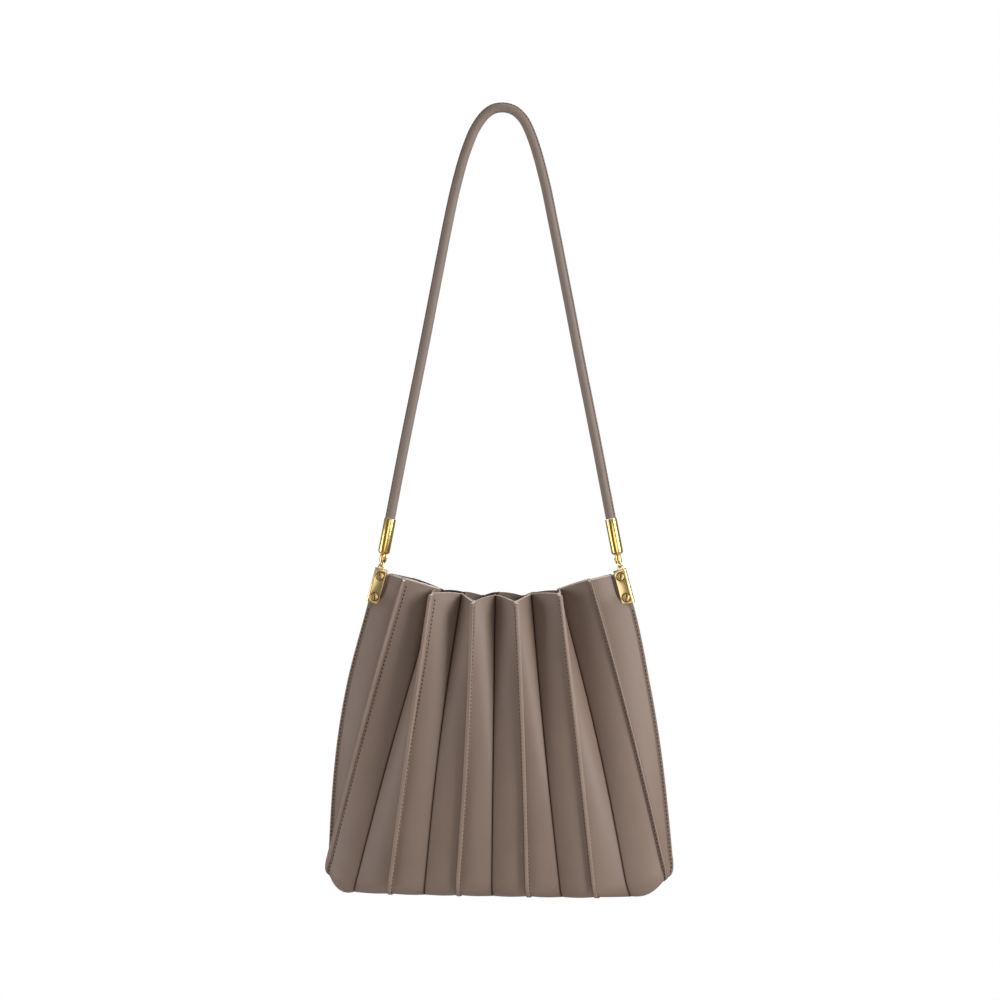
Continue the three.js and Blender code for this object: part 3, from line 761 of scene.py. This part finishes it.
def addPanel(sheet, first, last, bulge, seed):
    start, end = faceOf(first, 1), faceOf(last, -1)
    if first["pinched"]:
        start = start + sideOf(first, 1) * body["rootStep"]
    if last["pinched"]:
        end = end - sideOf(last, 1) * body["rootStep"]
    way = end - start
    width = np.linalg.norm(way, axis=1)
    across = unit(way)
    out = first["out"] + last["out"]
    outward = unit(out - across * (out * across).sum(1, keepdims=True))
    lipStart, lipEnd = (0 if fold["pinched"] else body["creaseLip"] for fold in (first, last))
    tones = creaseShadeTones
    for s in panelShares:
        along = lipStart + (width - lipStart - lipEnd) * s
        spot = start + across * along[:, None]
        ripple = np.array([noise.noise(Vector(p) * body["rippleScale"] + Vector((seed, 0, 0)))
                           for p in spot])
        lift = bulge * 4 * s * (1 - s) + body["ripple"] * ripple * math.sin(math.pi * s)
        spot = spot + outward * lift[:, None]
        distances = ((along - lipStart, first), (width - lipEnd - along, last))
        # painted shade on the panel: darker near a crease, in a narrow line and a broad falloff
        crease = sum(tones["line"] * np.exp(-near / tones["lineReach"])
                     + tones["shade"] * np.exp(-near / tones["shadeReach"])
                     for near, fold in distances if not fold["pinched"])
        sheet.add(spot, spot - outward * body["leather"], crease, 0)


def layFolds(stations, bulges, seeds):
  # the whole sheet, and the outside columns of each panel
    sheet, panels = Sheet(), []
    last = len(stations) - 1
    for i, station in enumerate(stations):
        before = faceOf(stations[i - 1], 1) if i else None
        after = faceOf(stations[i + 1], -1) if i < last else None
        if not station["pinched"]:
            addCrease(sheet, station, before, after)
        elif before is None or after is None:
            addSeamFold(sheet, station, before, after)
        else:
            addWholeFold(sheet, station, before, after)
        if i < last:
            firstColumn = len(sheet.outside)
            addPanel(sheet, station, stations[i + 1], bulges[i], seeds[i])
            panels.append(sheet.outside[firstColumn:])
    return sheet, panels


def shapeRim(outside, inside, fin, way):
  # fins sag at the rim, and the cut edge slopes down to the outside; way is 1 at the front rim
    for i, weight in enumerate((1, 0.35, 0.1)):
        row = i if way == 1 else -1 - i
        drop = np.array((0, 0, -1)) * (body["finDrop"] * weight * fin[row])[:, None]
        outside[row] += drop
        inside[row] += drop
    edge, below = (0, 1) if way == 1 else (-1, -2)
    outside[edge] += unit(outside[below] - outside[edge]) * body["rimCut"]


def sheetPiece(name, sheet, node, hasTwoRims):
    outside, inside = np.stack(sheet.outside, axis=1), np.stack(sheet.inside, axis=1)
    rows, columns = outside.shape[:2]
    fin = np.stack(sheet.fin, axis=1)
    shapeRim(outside, inside, fin, 1)
    if hasTwoRims:
        shapeRim(outside, inside, fin, -1)
    points = np.concatenate([outside.reshape(-1, 3), inside.reshape(-1, 3)])
    finish = {"outside": 0, "suede": 1, "cut": 2}
    faces, kinds = [], []

    def at(r, c, layer):
        return layer * rows * columns + r * columns + c

    def face(kind, *corners):
        faces.append(tuple(corners))
        kinds.append(finish[kind])

    for r in range(rows - 1):
        for c in range(columns - 1):
            face("outside", at(r, c, 0), at(r, c + 1, 0), at(r + 1, c + 1, 0), at(r + 1, c, 0))
            face("suede", at(r, c, 1), at(r + 1, c, 1), at(r + 1, c + 1, 1), at(r, c + 1, 1))
        for c in (0, columns - 1):
            face("outside", at(r, c, 0), at(r + 1, c, 0), at(r + 1, c, 1), at(r, c, 1))
    for c in range(columns - 1):
        for r in (0, rows - 1):
  # a gusset's lower end is turned in, only a rim shows its cut edge
            kind = "cut" if r == 0 or hasTwoRims else "outside"
            face(kind, at(r, c, 0), at(r, c, 1), at(r, c + 1, 1), at(r, c + 1, 0))
    finishes = [leathers[label] for label in ("outsideLeather", "insideSuede", "rawEdge")]
    piece = newMesh(name, points, faces, finishes)
    piece.data.polygons.foreach_set("material_index", kinds)
    for label in ("crease", "fin"):
        values = np.stack(getattr(sheet, label), axis=1).reshape(-1)
        addMask(piece, label, np.concatenate([values, 0 * values]))
    finishSoft(piece)
    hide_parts(node)


stitching = {
    "pitch": 0.0028,
    "size": (0.0016, 0.0008, 0.0005),
    "lift": 0.0001,
    "height": 0.48,  # share of the fin's height
    "fromTip": 0.0013,  # on the side folds
    "fromFin": 0.0010,  # on a panel
    "firstLevel": 2,
    "firstSideLevel": 9,  # below the clamp
    "onPanel": {0: 2.0, 2: 0.7},  # folds sewn beside the fin, and the share of the leg where that ends
    "moveOver": 0.5,
}


def panelRow(station, columns, onFin, end):
  # a seam on the panel beside the fin, which moves onto the fin towards the given share of the leg
    columns = np.stack(columns)
    steps = np.linalg.norm(np.diff(columns, axis=0), axis=2)
    gone = np.concatenate([np.zeros((1, columns.shape[1])), np.cumsum(steps, axis=0)])
    line = np.array([[np.interp(stitching["fromFin"], gone[:, r], columns[:, r, k]) for k in range(3)]
                     for r in range(columns.shape[1])])
    away = unit(line - columns[0])
    normal = unit(np.cross(np.gradient(line, axis=0), away))
    normal *= np.sign((normal * station["out"]).sum(1, keepdims=True))
    line = line + normal * stitching["lift"]
    rim = stitching["firstLevel"]
    legShare = mirrored(np.where(isLeg, share, 1))
    moved = smoothstep(end - stitching["moveOver"], end, legShare)[rim:-rim, None]
    return blend(line[rim:-rim], onFin[0], moved), blend(normal[rim:-rim], onFin[1], moved)


def finRow(station, way):
  # a seam on one side of the fin
    side = sideOf(station, way)
    middle = blend(station["root"], station["tip"], stitching["height"])
    line = middle + side * (body["leather"] + stitching["lift"])
    rim = stitching["firstLevel"]
    return line[rim:-rim], side[rim:-rim]


def sideRow(station, way):
  # a seam along the side fold, from below its clamp to the end
    side = sideOf(station, way)
    middle = station["tip"] - station["out"] * stitching["fromTip"]
    line = middle + side * (body["leather"] + stitching["lift"])
    first = stitching["firstSideLevel"]
    return line[first:-1], side[first:-1]


def makeMainPanel():
  # front, underside and back in one piece; returns its rows of stitches
    order = [(n, "left") for n in ("corner", "fourth", "third", "second", "first", "middle")]
    order += [(n, "right") for n in ("first", "second", "third", "fourth", "corner")]
    stations = [joined(foldStation(n, s), foldStation(n, s, True)) for n, s in order]
    whole = mirrored(turned)
    bulges = [body["panelBulge"] * (1 - body["underFlat"] * whole)] * (len(stations) - 1)
    for i, cornerBulge in zip((0, -1), body["cornerBulge"]):
        bulges[i] = blend(body["panelBulge"], cornerBulge, whole)
    seeds = [i * rippleSeeds["panel"] for i in range(len(bulges))]
    sheet, panels = layFolds(stations, bulges, seeds)
    sheetPiece("body_leather", sheet, "main_panel", True)
    rows = []
    for i, station in enumerate(stations):
        if station["pinched"]:
            rows += [finRow(station, -1), finRow(station, 1)]
            if i in stitching["onPanel"]:
                rows[-1] = panelRow(station, panels[i], rows[-1], stitching["onPanel"][i])
    return rows


def makeGusset(sideName):
  # one side piece; returns its side fold
    end = cornerEnd + 1
    stations = []
    for name, isBack in (("corner", True), ("tuck", True), ("side", False), ("tuck", False),
                         ("corner", False)):
        station = trimmed(foldStation(name, sideName, isBack), end)
        station["sense"] = 1 if isBack == (sideName == "right") else -1
        stations.append(station)
    bulges = [body["panelBulge"] * (1 - turned[:end])] * (len(stations) - 1)
    firstSeed = 0 if sideName == "left" else rippleSeeds["right"]
    seeds = [i * rippleSeeds["gusset"] + firstSeed for i in range(len(bulges))]
    sheet, _ = layFolds(stations, bulges, seeds)
    sheetPiece(f"gusset_leather_{sideName}", sheet, f"gusset_{sideName}", False)
    return stations[2]


mainRows = makeMainPanel()
print("body panel made")
sideFolds = [makeGusset("left"), makeGusset("right")]
print("gussets made")
sewRows("stitches_front_and_back", mainRows, stitching["size"], stitching["pitch"])
sewRows("stitches_sides", [sideRow(s, way) for s in sideFolds for way in (-1, 1)],
        stitching["size"], stitching["pitch"])
print("stitches made")


# metal at both ends of the strap, drawn in millimetres and degrees

clamp = {
    "length": 24.6, "width": 8.8, "plate": 1.2, "rise": 1.2, "gap": 0.3, "leather": 1.4,
    "bend": 1.4, "edge": 0.22, "screwPlay": 0.2,
    "rimX": 87, "baseX": 122.5, "baseRise": 10,  # the side fold that it sits on
}
screw = {
    "head": 5.3, "ring": 0.45, "ringDepth": 0.7, "rise": 0.55, "shank": 2.2, "crown": 0.3,
    "slotWidth": 0.9, "slotDepth": 0.9, "slotTurn": 68, "slotEdge": 0.05, "seatGap": 0.04, "sink": 0.1,
    "spacing": 15, "fromEnd": 5, "across": 0.56,
}
lug = {"width": 4.3, "wire": 1.2, "height": 3.4, "bridge": 0.8, "across": 0.39, "edge": 0.12,
       "sink": 0.02}
clasp = {
    "wire": 1.2, "ring": 5, "post": 4.2, "postLength": 5.2, "postRound": 0.5, "shoulder": (0.45, 0.12),
    "neck": 2, "neckLength": 1.6, "neckSink": 0.3, "head": 4, "headHeight": 1.4, "headEdge": 0.15,
    "collarInset": 0.25, "collar": (0.45, 0.4), "collarRound": 0.3,
    "tabLength": 4, "tab": 0.9, "tabTip": (0.12, 0.25), "tabEdge": 0.14, "tabTurn": 14,
    "tabStand": 0.3, "tabRise": 0.25,
}
ferrule = {"diameter": 8.2, "length": 25, "chamfer": 1.3, "lean": 11, "gap": 0.3, "edge": 0.14,
           "hollow": 0.6, "step": 0.01}
recess = {"below": 0.1, "slack": 0.02, "fromEdge": 0.05}  # how far in a face painted with shade lies
overlap = 0.2  # of two pieces that are joined
cutPast = 1.0  # how far a cutter reaches past what it cuts
straight = 0.9  # least share of a normal that points the picked way


def clampPlace(side):
  # the clamp's frame: origin on the rim, z up along the side fold, x inwards on the left
    top = np.array((-clamp["rimX"] * mm, 0, -body["rimDrop"]))
    baseZ = -body["rimDrop"] - body["height"] + clamp["baseRise"] * mm
    base = np.array((-clamp["baseX"] * mm, 0, baseZ))
    legEnd = base + (top - base) * body["sideCornerRadius"] / (top[2] - base[2])
    s = body["clampLength"] / body["height"]
    below = blend(top, legEnd, s)
    below[0] -= sideBelly["clamped"] * mm * math.sin(math.pi * s)
    lean = math.atan2(top[0] - below[0], top[2] - below[2])
    return Matrix.Translation((top[0] * side, 0, top[2])) @ Matrix.Rotation(lean * side, 4, "Y")


def addCylinder(radius, low, high, vertices=48, axis="Z", at=(0, 0, 0)):
    clearSelection()
    middle = (low + high) / 2
    turn, shift = {"Z": ((0, 0, 0), (0, 0, middle)), "Y": ((math.pi / 2, 0, 0), (0, middle, 0))}[axis]
    bpy.ops.mesh.primitive_cylinder_add(vertices=vertices, radius=radius, depth=high - low,
                                        location=Vector(at) + Vector(shift), rotation=turn)
    return applyPlace(bpy.context.object)


def addBlock(low, high):
    clearSelection()
    low, high = Vector(low), Vector(high)
    bpy.ops.mesh.primitive_cube_add(size=1, location=(low + high) / 2)
    block = bpy.context.object
    block.scale = high - low
    return applyPlace(block)


def addRing(middle, wire, segments, at, turn):
    clearSelection()
    bpy.ops.mesh.primitive_torus_add(major_radius=middle, minor_radius=wire / 2, major_segments=segments,
                                     minor_segments=20, location=at, rotation=turn)
    return applyPlace(bpy.context.object)


def pushOut(distance):
    bpy.ops.mesh.extrude_region_move(TRANSFORM_OT_translate={"value": (0, 0, distance)})


def paintRecessShade(piece, place, test):
  # faces sunk into the metal carry the darker material, painted shade; test reads millimetres in the
  # place's frame
    piece.data.materials.append(golds["recessShadeGold"])
    back = place.inverted()
    for face in piece.data.polygons:
        face.material_index = int(test((back @ face.center) / mm))


def makeLug(side, near, inner, top):
  # an arch of wire on a bridge between the cheeks
    lugX = (near + lug["across"] * clamp["width"]) * side
    bridge = addBlock((lugX - lug["width"] / 2, -inner - overlap, top - lug["bridge"]),
                      (lugX + lug["width"] / 2, inner + overlap, top - lug["sink"]))
    applyModifier(bridge, "BEVEL", width=lug["edge"], segments=2)
    centre = top + lug["height"] - lug["width"] / 2
    arch = addRing((lug["width"] - lug["wire"]) / 2, lug["wire"], 48, (lugX, 0, centre),
                   (math.pi / 2, 0, 0))
    pickFaces(arch, lambda c, n: c.z < centre)
    bpy.ops.mesh.delete(type="FACE")
    bpy.ops.mesh.select_all(action="DESELECT")
    bpy.ops.mesh.select_mode(type="EDGE")
    bpy.ops.mesh.select_non_manifold()
    pushOut(top - centre - overlap)
    bpy.ops.mesh.edge_face_add()
    return [bridge, arch], lugX, centre


def makeClamp(side, place, word):
    inner = clamp["leather"] + clamp["gap"]
    outer = inner + clamp["plate"]
    near = -(clamp["gap"] + clamp["plate"])
    far = near + clamp["width"]
    top, foot = clamp["rise"], clamp["rise"] - clamp["length"]
    low, high = sorted((near * side, far * side))
    plate = addBlock((low, -outer, foot), (high, outer, top))

    def isBend(v):
        return abs(v.x - near * side) < 0.01

    pickEdges(plate, lambda a, b: isBend(a) and isBend(b) and abs(a.z - b.z) > 1)
    bpy.ops.mesh.bevel(offset=clamp["bend"], segments=6, affect="EDGES")
    slotLow, slotHigh = sorted(((near + clamp["plate"]) * side, (far + 2 * cutPast) * side))
    cutWith(plate, addBlock((slotLow, -inner, foot - cutPast), (slotHigh, inner, top + cutPast)))
    screwX = (near + screw["across"] * clamp["width"]) * side
    screwHeights = [top - screw["fromEnd"], top - screw["fromEnd"] - screw["spacing"]]
    bore = screw["shank"] / 2 + clamp["screwPlay"]
    ringRadius = screw["head"] / 2 + screw["ring"]
    face, past = outer - screw["ringDepth"], outer + cutPast
    for height in screwHeights:
        for radius, low, high, vertices in ((bore, -past, past, 32), (ringRadius, -past, -face, 48),
                                            (ringRadius, face, past, 48)):
            cutWith(plate, addCylinder(radius, low, high, vertices, "Y", (screwX, 0, height)))
    roundEdges(plate, clamp["edge"], 3, 50)
    lugPieces, lugX, lugCentre = makeLug(side, near, inner, top)
    piece = finishMetal([plate, *lugPieces], f"clamp_{word}", place, golds["satinGold"],
                        f"clamp_plate_{word}", 40)
    shallow, deep = outer - recess["below"], face - recess["below"]

    def isSunk(c):
        nearest = min(math.hypot(c.x - screwX, c.z - height) for height in screwHeights)
        return deep < abs(c.y) < shallow and nearest < ringRadius + recess["slack"]

    paintRecessShade(piece, place, isSunk)
    return lugX, lugCentre, screwX, screwHeights, outer


def addHead(low, high, x, height, crownWay):
  # a screw's head, rounded on its outer side
    head = addCylinder(screw["head"] / 2, low, high, 48, "Y", (x, 0, height))
    pickFaces(head, lambda c, n: n.y * crownWay > straight)
    bpy.ops.mesh.bevel(offset=screw["crown"], segments=4, affect="EDGES")
    return head


def makeScrew(side, place, name, x, height, seat):
    turn = math.radians(screw["slotTurn"]) * side
    top = seat + screw["rise"]
    seat = seat - screw["ringDepth"] + screw["seatGap"]
    front = addHead(-top, -seat, x, height, -1)
    half = screw["slotWidth"] / 2
    blade = addBlock((-screw["head"], -top - cutPast, -half),
                     (screw["head"], -top + screw["slotDepth"], half))
    turnPiece(blade, turn, (x, 0, height))
    cutWith(front, blade)
    roundEdges(front, screw["slotEdge"], 2, 60)
    rear = addHead(seat, top, x, height, 1)
    reach = seat + screw["sink"]
    shank = addCylinder(screw["shank"] / 2, -reach, reach, 32, "Y", (x, 0, height))
    piece = finishMetal([front, rear, shank], name + "_head", place, golds["satinGold"], name,
                        35)

    def isInSlot(c):
        dx, dz = c.x - x, c.z - height
        return (-top + recess["below"] < c.y < -seat
                and math.hypot(dx, dz) < screw["head"] / 2 - recess["fromEdge"]
                and abs(dx * math.sin(turn) + dz * math.cos(turn)) < half + recess["slack"])

    paintRecessShade(piece, place, isInSlot)


def makeClasp(side, place, word):
    foot = (clasp["ring"] - clasp["wire"]) / 2
    ring = addRing(foot, clasp["wire"], 56, (0, 0, 0), (0, math.pi / 2, 0))
    top = foot + clasp["postLength"]
    post = addCylinder(clasp["post"] / 2, foot, top, 48)
    pickFaces(post, lambda c, n: abs(n.z) > straight)
    bpy.ops.mesh.bevel(offset=clasp["postRound"], segments=4, affect="EDGES")
    pickFaces(post, lambda c, n: n.z > straight)
    thickness, depth = clasp["shoulder"]
    bpy.ops.mesh.inset(thickness=thickness, depth=depth)  # shoulder below the neck
    headFoot = top + clasp["neckLength"]
    neck = addCylinder(clasp["neck"] / 2, top - clasp["neckSink"], headFoot + clasp["neckSink"], 32)
    head = addCylinder(clasp["head"] / 2, headFoot, headFoot + clasp["headHeight"], 32)
    roundEdges(head, clasp["headEdge"], 2, 60)
    down, up = clasp["collar"]
    collar = addCylinder(clasp["post"] / 2 - clasp["collarInset"], foot - down, foot + up, 48)
    roundEdges(collar, clasp["collarRound"], 4, 60)
    half, length = clasp["tab"] / 2, clasp["tabLength"] / 2
    tab = addBlock((-half, -half, -length), (half, half, length))
    pickFaces(tab, lambda c, n: n.z < -straight)
    thickness, depth = clasp["tabTip"]
    bpy.ops.mesh.inset(thickness=thickness, depth=depth)  # thumb tip
    roundEdges(tab, clasp["tabEdge"], 3, 40)
    turnPiece(tab, side * math.radians(clasp["tabTurn"]),
              (side * (clasp["post"] / 2 + clasp["tabStand"] * clasp["tab"]), 0,
               foot + clasp["tabRise"] * clasp["postLength"]))
    finishMetal([post, ring, neck, head, collar, tab], f"clasp_post_{word}", place,
                golds["polishedGold"], f"clasp_{word}", 35)


def makeFerrule(side, place, word):
  # a barrel with a chamfered mouth, hollow around the clasp's neck and head
    radius = ferrule["diameter"] / 2
    foot = (clasp["ring"] - clasp["wire"]) / 2 + clasp["postLength"] + ferrule["gap"]
    barrel = addCylinder(radius, foot, foot + ferrule["length"], 72)
    pickFaces(barrel, lambda c, n: n.z < -straight)
    bpy.ops.mesh.bevel(offset=ferrule["chamfer"], segments=1, affect="EDGES")
    pickFaces(barrel, lambda c, n: n.z < -straight)
    mouth = clasp["neck"] / 2 + ferrule["gap"]
    bpy.ops.mesh.inset(thickness=radius - ferrule["chamfer"] - clasp["neck"] / 2 - ferrule["gap"])
    pushOut(clasp["neckLength"] - ferrule["hollow"])
    pushOut(ferrule["step"])
    wide = (clasp["head"] / 2 + ferrule["gap"]) / mouth
    bpy.ops.transform.resize(value=(wide, wide, 1))
    pushOut(clasp["headHeight"] + ferrule["hollow"])
    roundEdges(barrel, ferrule["edge"], 3, 30)
    finishMetal([barrel], f"ferrule_barrel_{word}", place, golds["polishedGold"], f"ferrule_{word}",
                28)


for side, word in ((1, "left"), (-1, "right")):
    place = clampPlace(side)
    lugX, lugCentre, screwX, screwHeights, seat = makeClamp(side, place, word)
    for i, height in enumerate(screwHeights):
        makeScrew(side, place, f"screw_{word}_{i + 1}", screwX, height, seat)
  # the clasp's ring hangs in the lug
    lugInside = lugCentre + lug["width"] / 2 - lug["wire"]
    ringCentre = lugInside - ferrule["gap"] - clasp["wire"] / 2 + (clasp["ring"] - clasp["wire"]) / 2
    hang = place @ Vector((lugX * mm, 0, ringCentre * mm))
    lean = math.radians(ferrule["lean"]) * side
    strapPlace = Matrix.Translation(hang) @ Matrix.Rotation(lean, 4, "Y")
    makeClasp(side, strapPlace, word)
    makeFerrule(side, strapPlace, word)
print("metal made")


# floor and light

stage = {
    "floor": -0.85, "floorRadius": 3.2, "floorColor": (0.93, 0.92, 0.91, 1), "floorRoughness": 0.9,
    "fade": (1.6, 0.75), "floorGlow": 0.7,
    "surround": (0.10, 0.24),  # light from before and behind, and from the sides
    "surroundTurn": (0.25, 0.85),
    "aim": (0, 0, -0.4),
}
softboxes = {
    "key": {"at": (2.12, -0.95, 0.2), "size": (0.8, 1.5), "power": 43},
    "fill": {"at": (-1.45, -0.5, -0.45), "size": (0.7, 0.9), "power": 8},
    "front": {"at": (0.6, -2.6, -0.3), "size": (1.3, 1.2), "power": 10},
    "top": {"at": (0.1, 0.2, 1.3), "size": (1.2, 1.2), "power": 7},
}


def addSoftbox(name, at, size, power):
    clearSelection()
    bpy.ops.object.light_add(type="AREA", location=at)
    lamp = bpy.context.object
    lamp.name = name
    lamp.data.shape = "RECTANGLE"
    lamp.data.size, lamp.data.size_y = size
    lamp.data.energy = power
    lamp.rotation_euler = (Vector(stage["aim"]) - lamp.location).to_track_quat("-Z", "Y").to_euler()


def makeFloor():
  # a pale round floor that fades out and glows a little for the camera alone
    clearSelection()
    bpy.ops.mesh.primitive_circle_add(vertices=96, radius=stage["floorRadius"], fill_type="NGON",
                                      location=(0, 0, stage["floor"]))
    floor = applyPlace(bpy.context.object)
    floor.name = "floor"
    material, tree, shader, place = startMaterial("paleFloor")
    away = addNode(tree, "VectorMath", {0: place}, operation="LENGTH")["Value"]
    seen = addNode(tree, "LightPath", {})["Is Camera Ray"]
    setSockets(tree, shader, {
        "Base Color": stage["floorColor"], "Roughness": stage["floorRoughness"],
        "Alpha": ramp(tree, away, *stage["fade"]), "Emission Color": (1, 1, 1, 1),
        "Emission Strength": calc(tree, "MULTIPLY", seen, stage["floorGlow"])})
    floor.data.materials.append(material)


def makeSurround():
  # white for the camera, and a soft light that is stronger from the sides
    world = bpy.data.worlds.new("studio")
    world.use_nodes = True
    tree = world.node_tree
    direction = addNode(tree, "TexCoord", {})["Object"]
    sideways = calc(tree, "ABSOLUTE", addNode(tree, "SeparateXYZ", {0: direction})["X"])
    (low, high), (start, end) = stage["surround"], stage["surroundTurn"]
    sockets = {"Value": sideways, "From Min": start, "From Max": end, "To Min": low, "To Max": high}
    sockets = {"Factor": addNode(tree, "LightPath", {})["Is Camera Ray"],
               "A": addNode(tree, "MapRange", sockets)["Result"], "B": 1.0}
    strength = addNode(tree, "Mix", sockets, data_type="FLOAT")["Result"]
    setSockets(tree, tree.nodes["Background"].inputs, {"Color": (1, 1, 1, 1), "Strength": strength})
    bpy.context.scene.world = world


makeFloor()
makeSurround()
for name, softbox in softboxes.items():
    addSoftbox(name, **softbox)
bpy.context.scene.view_settings.view_transform = "Standard"
print("stage made")
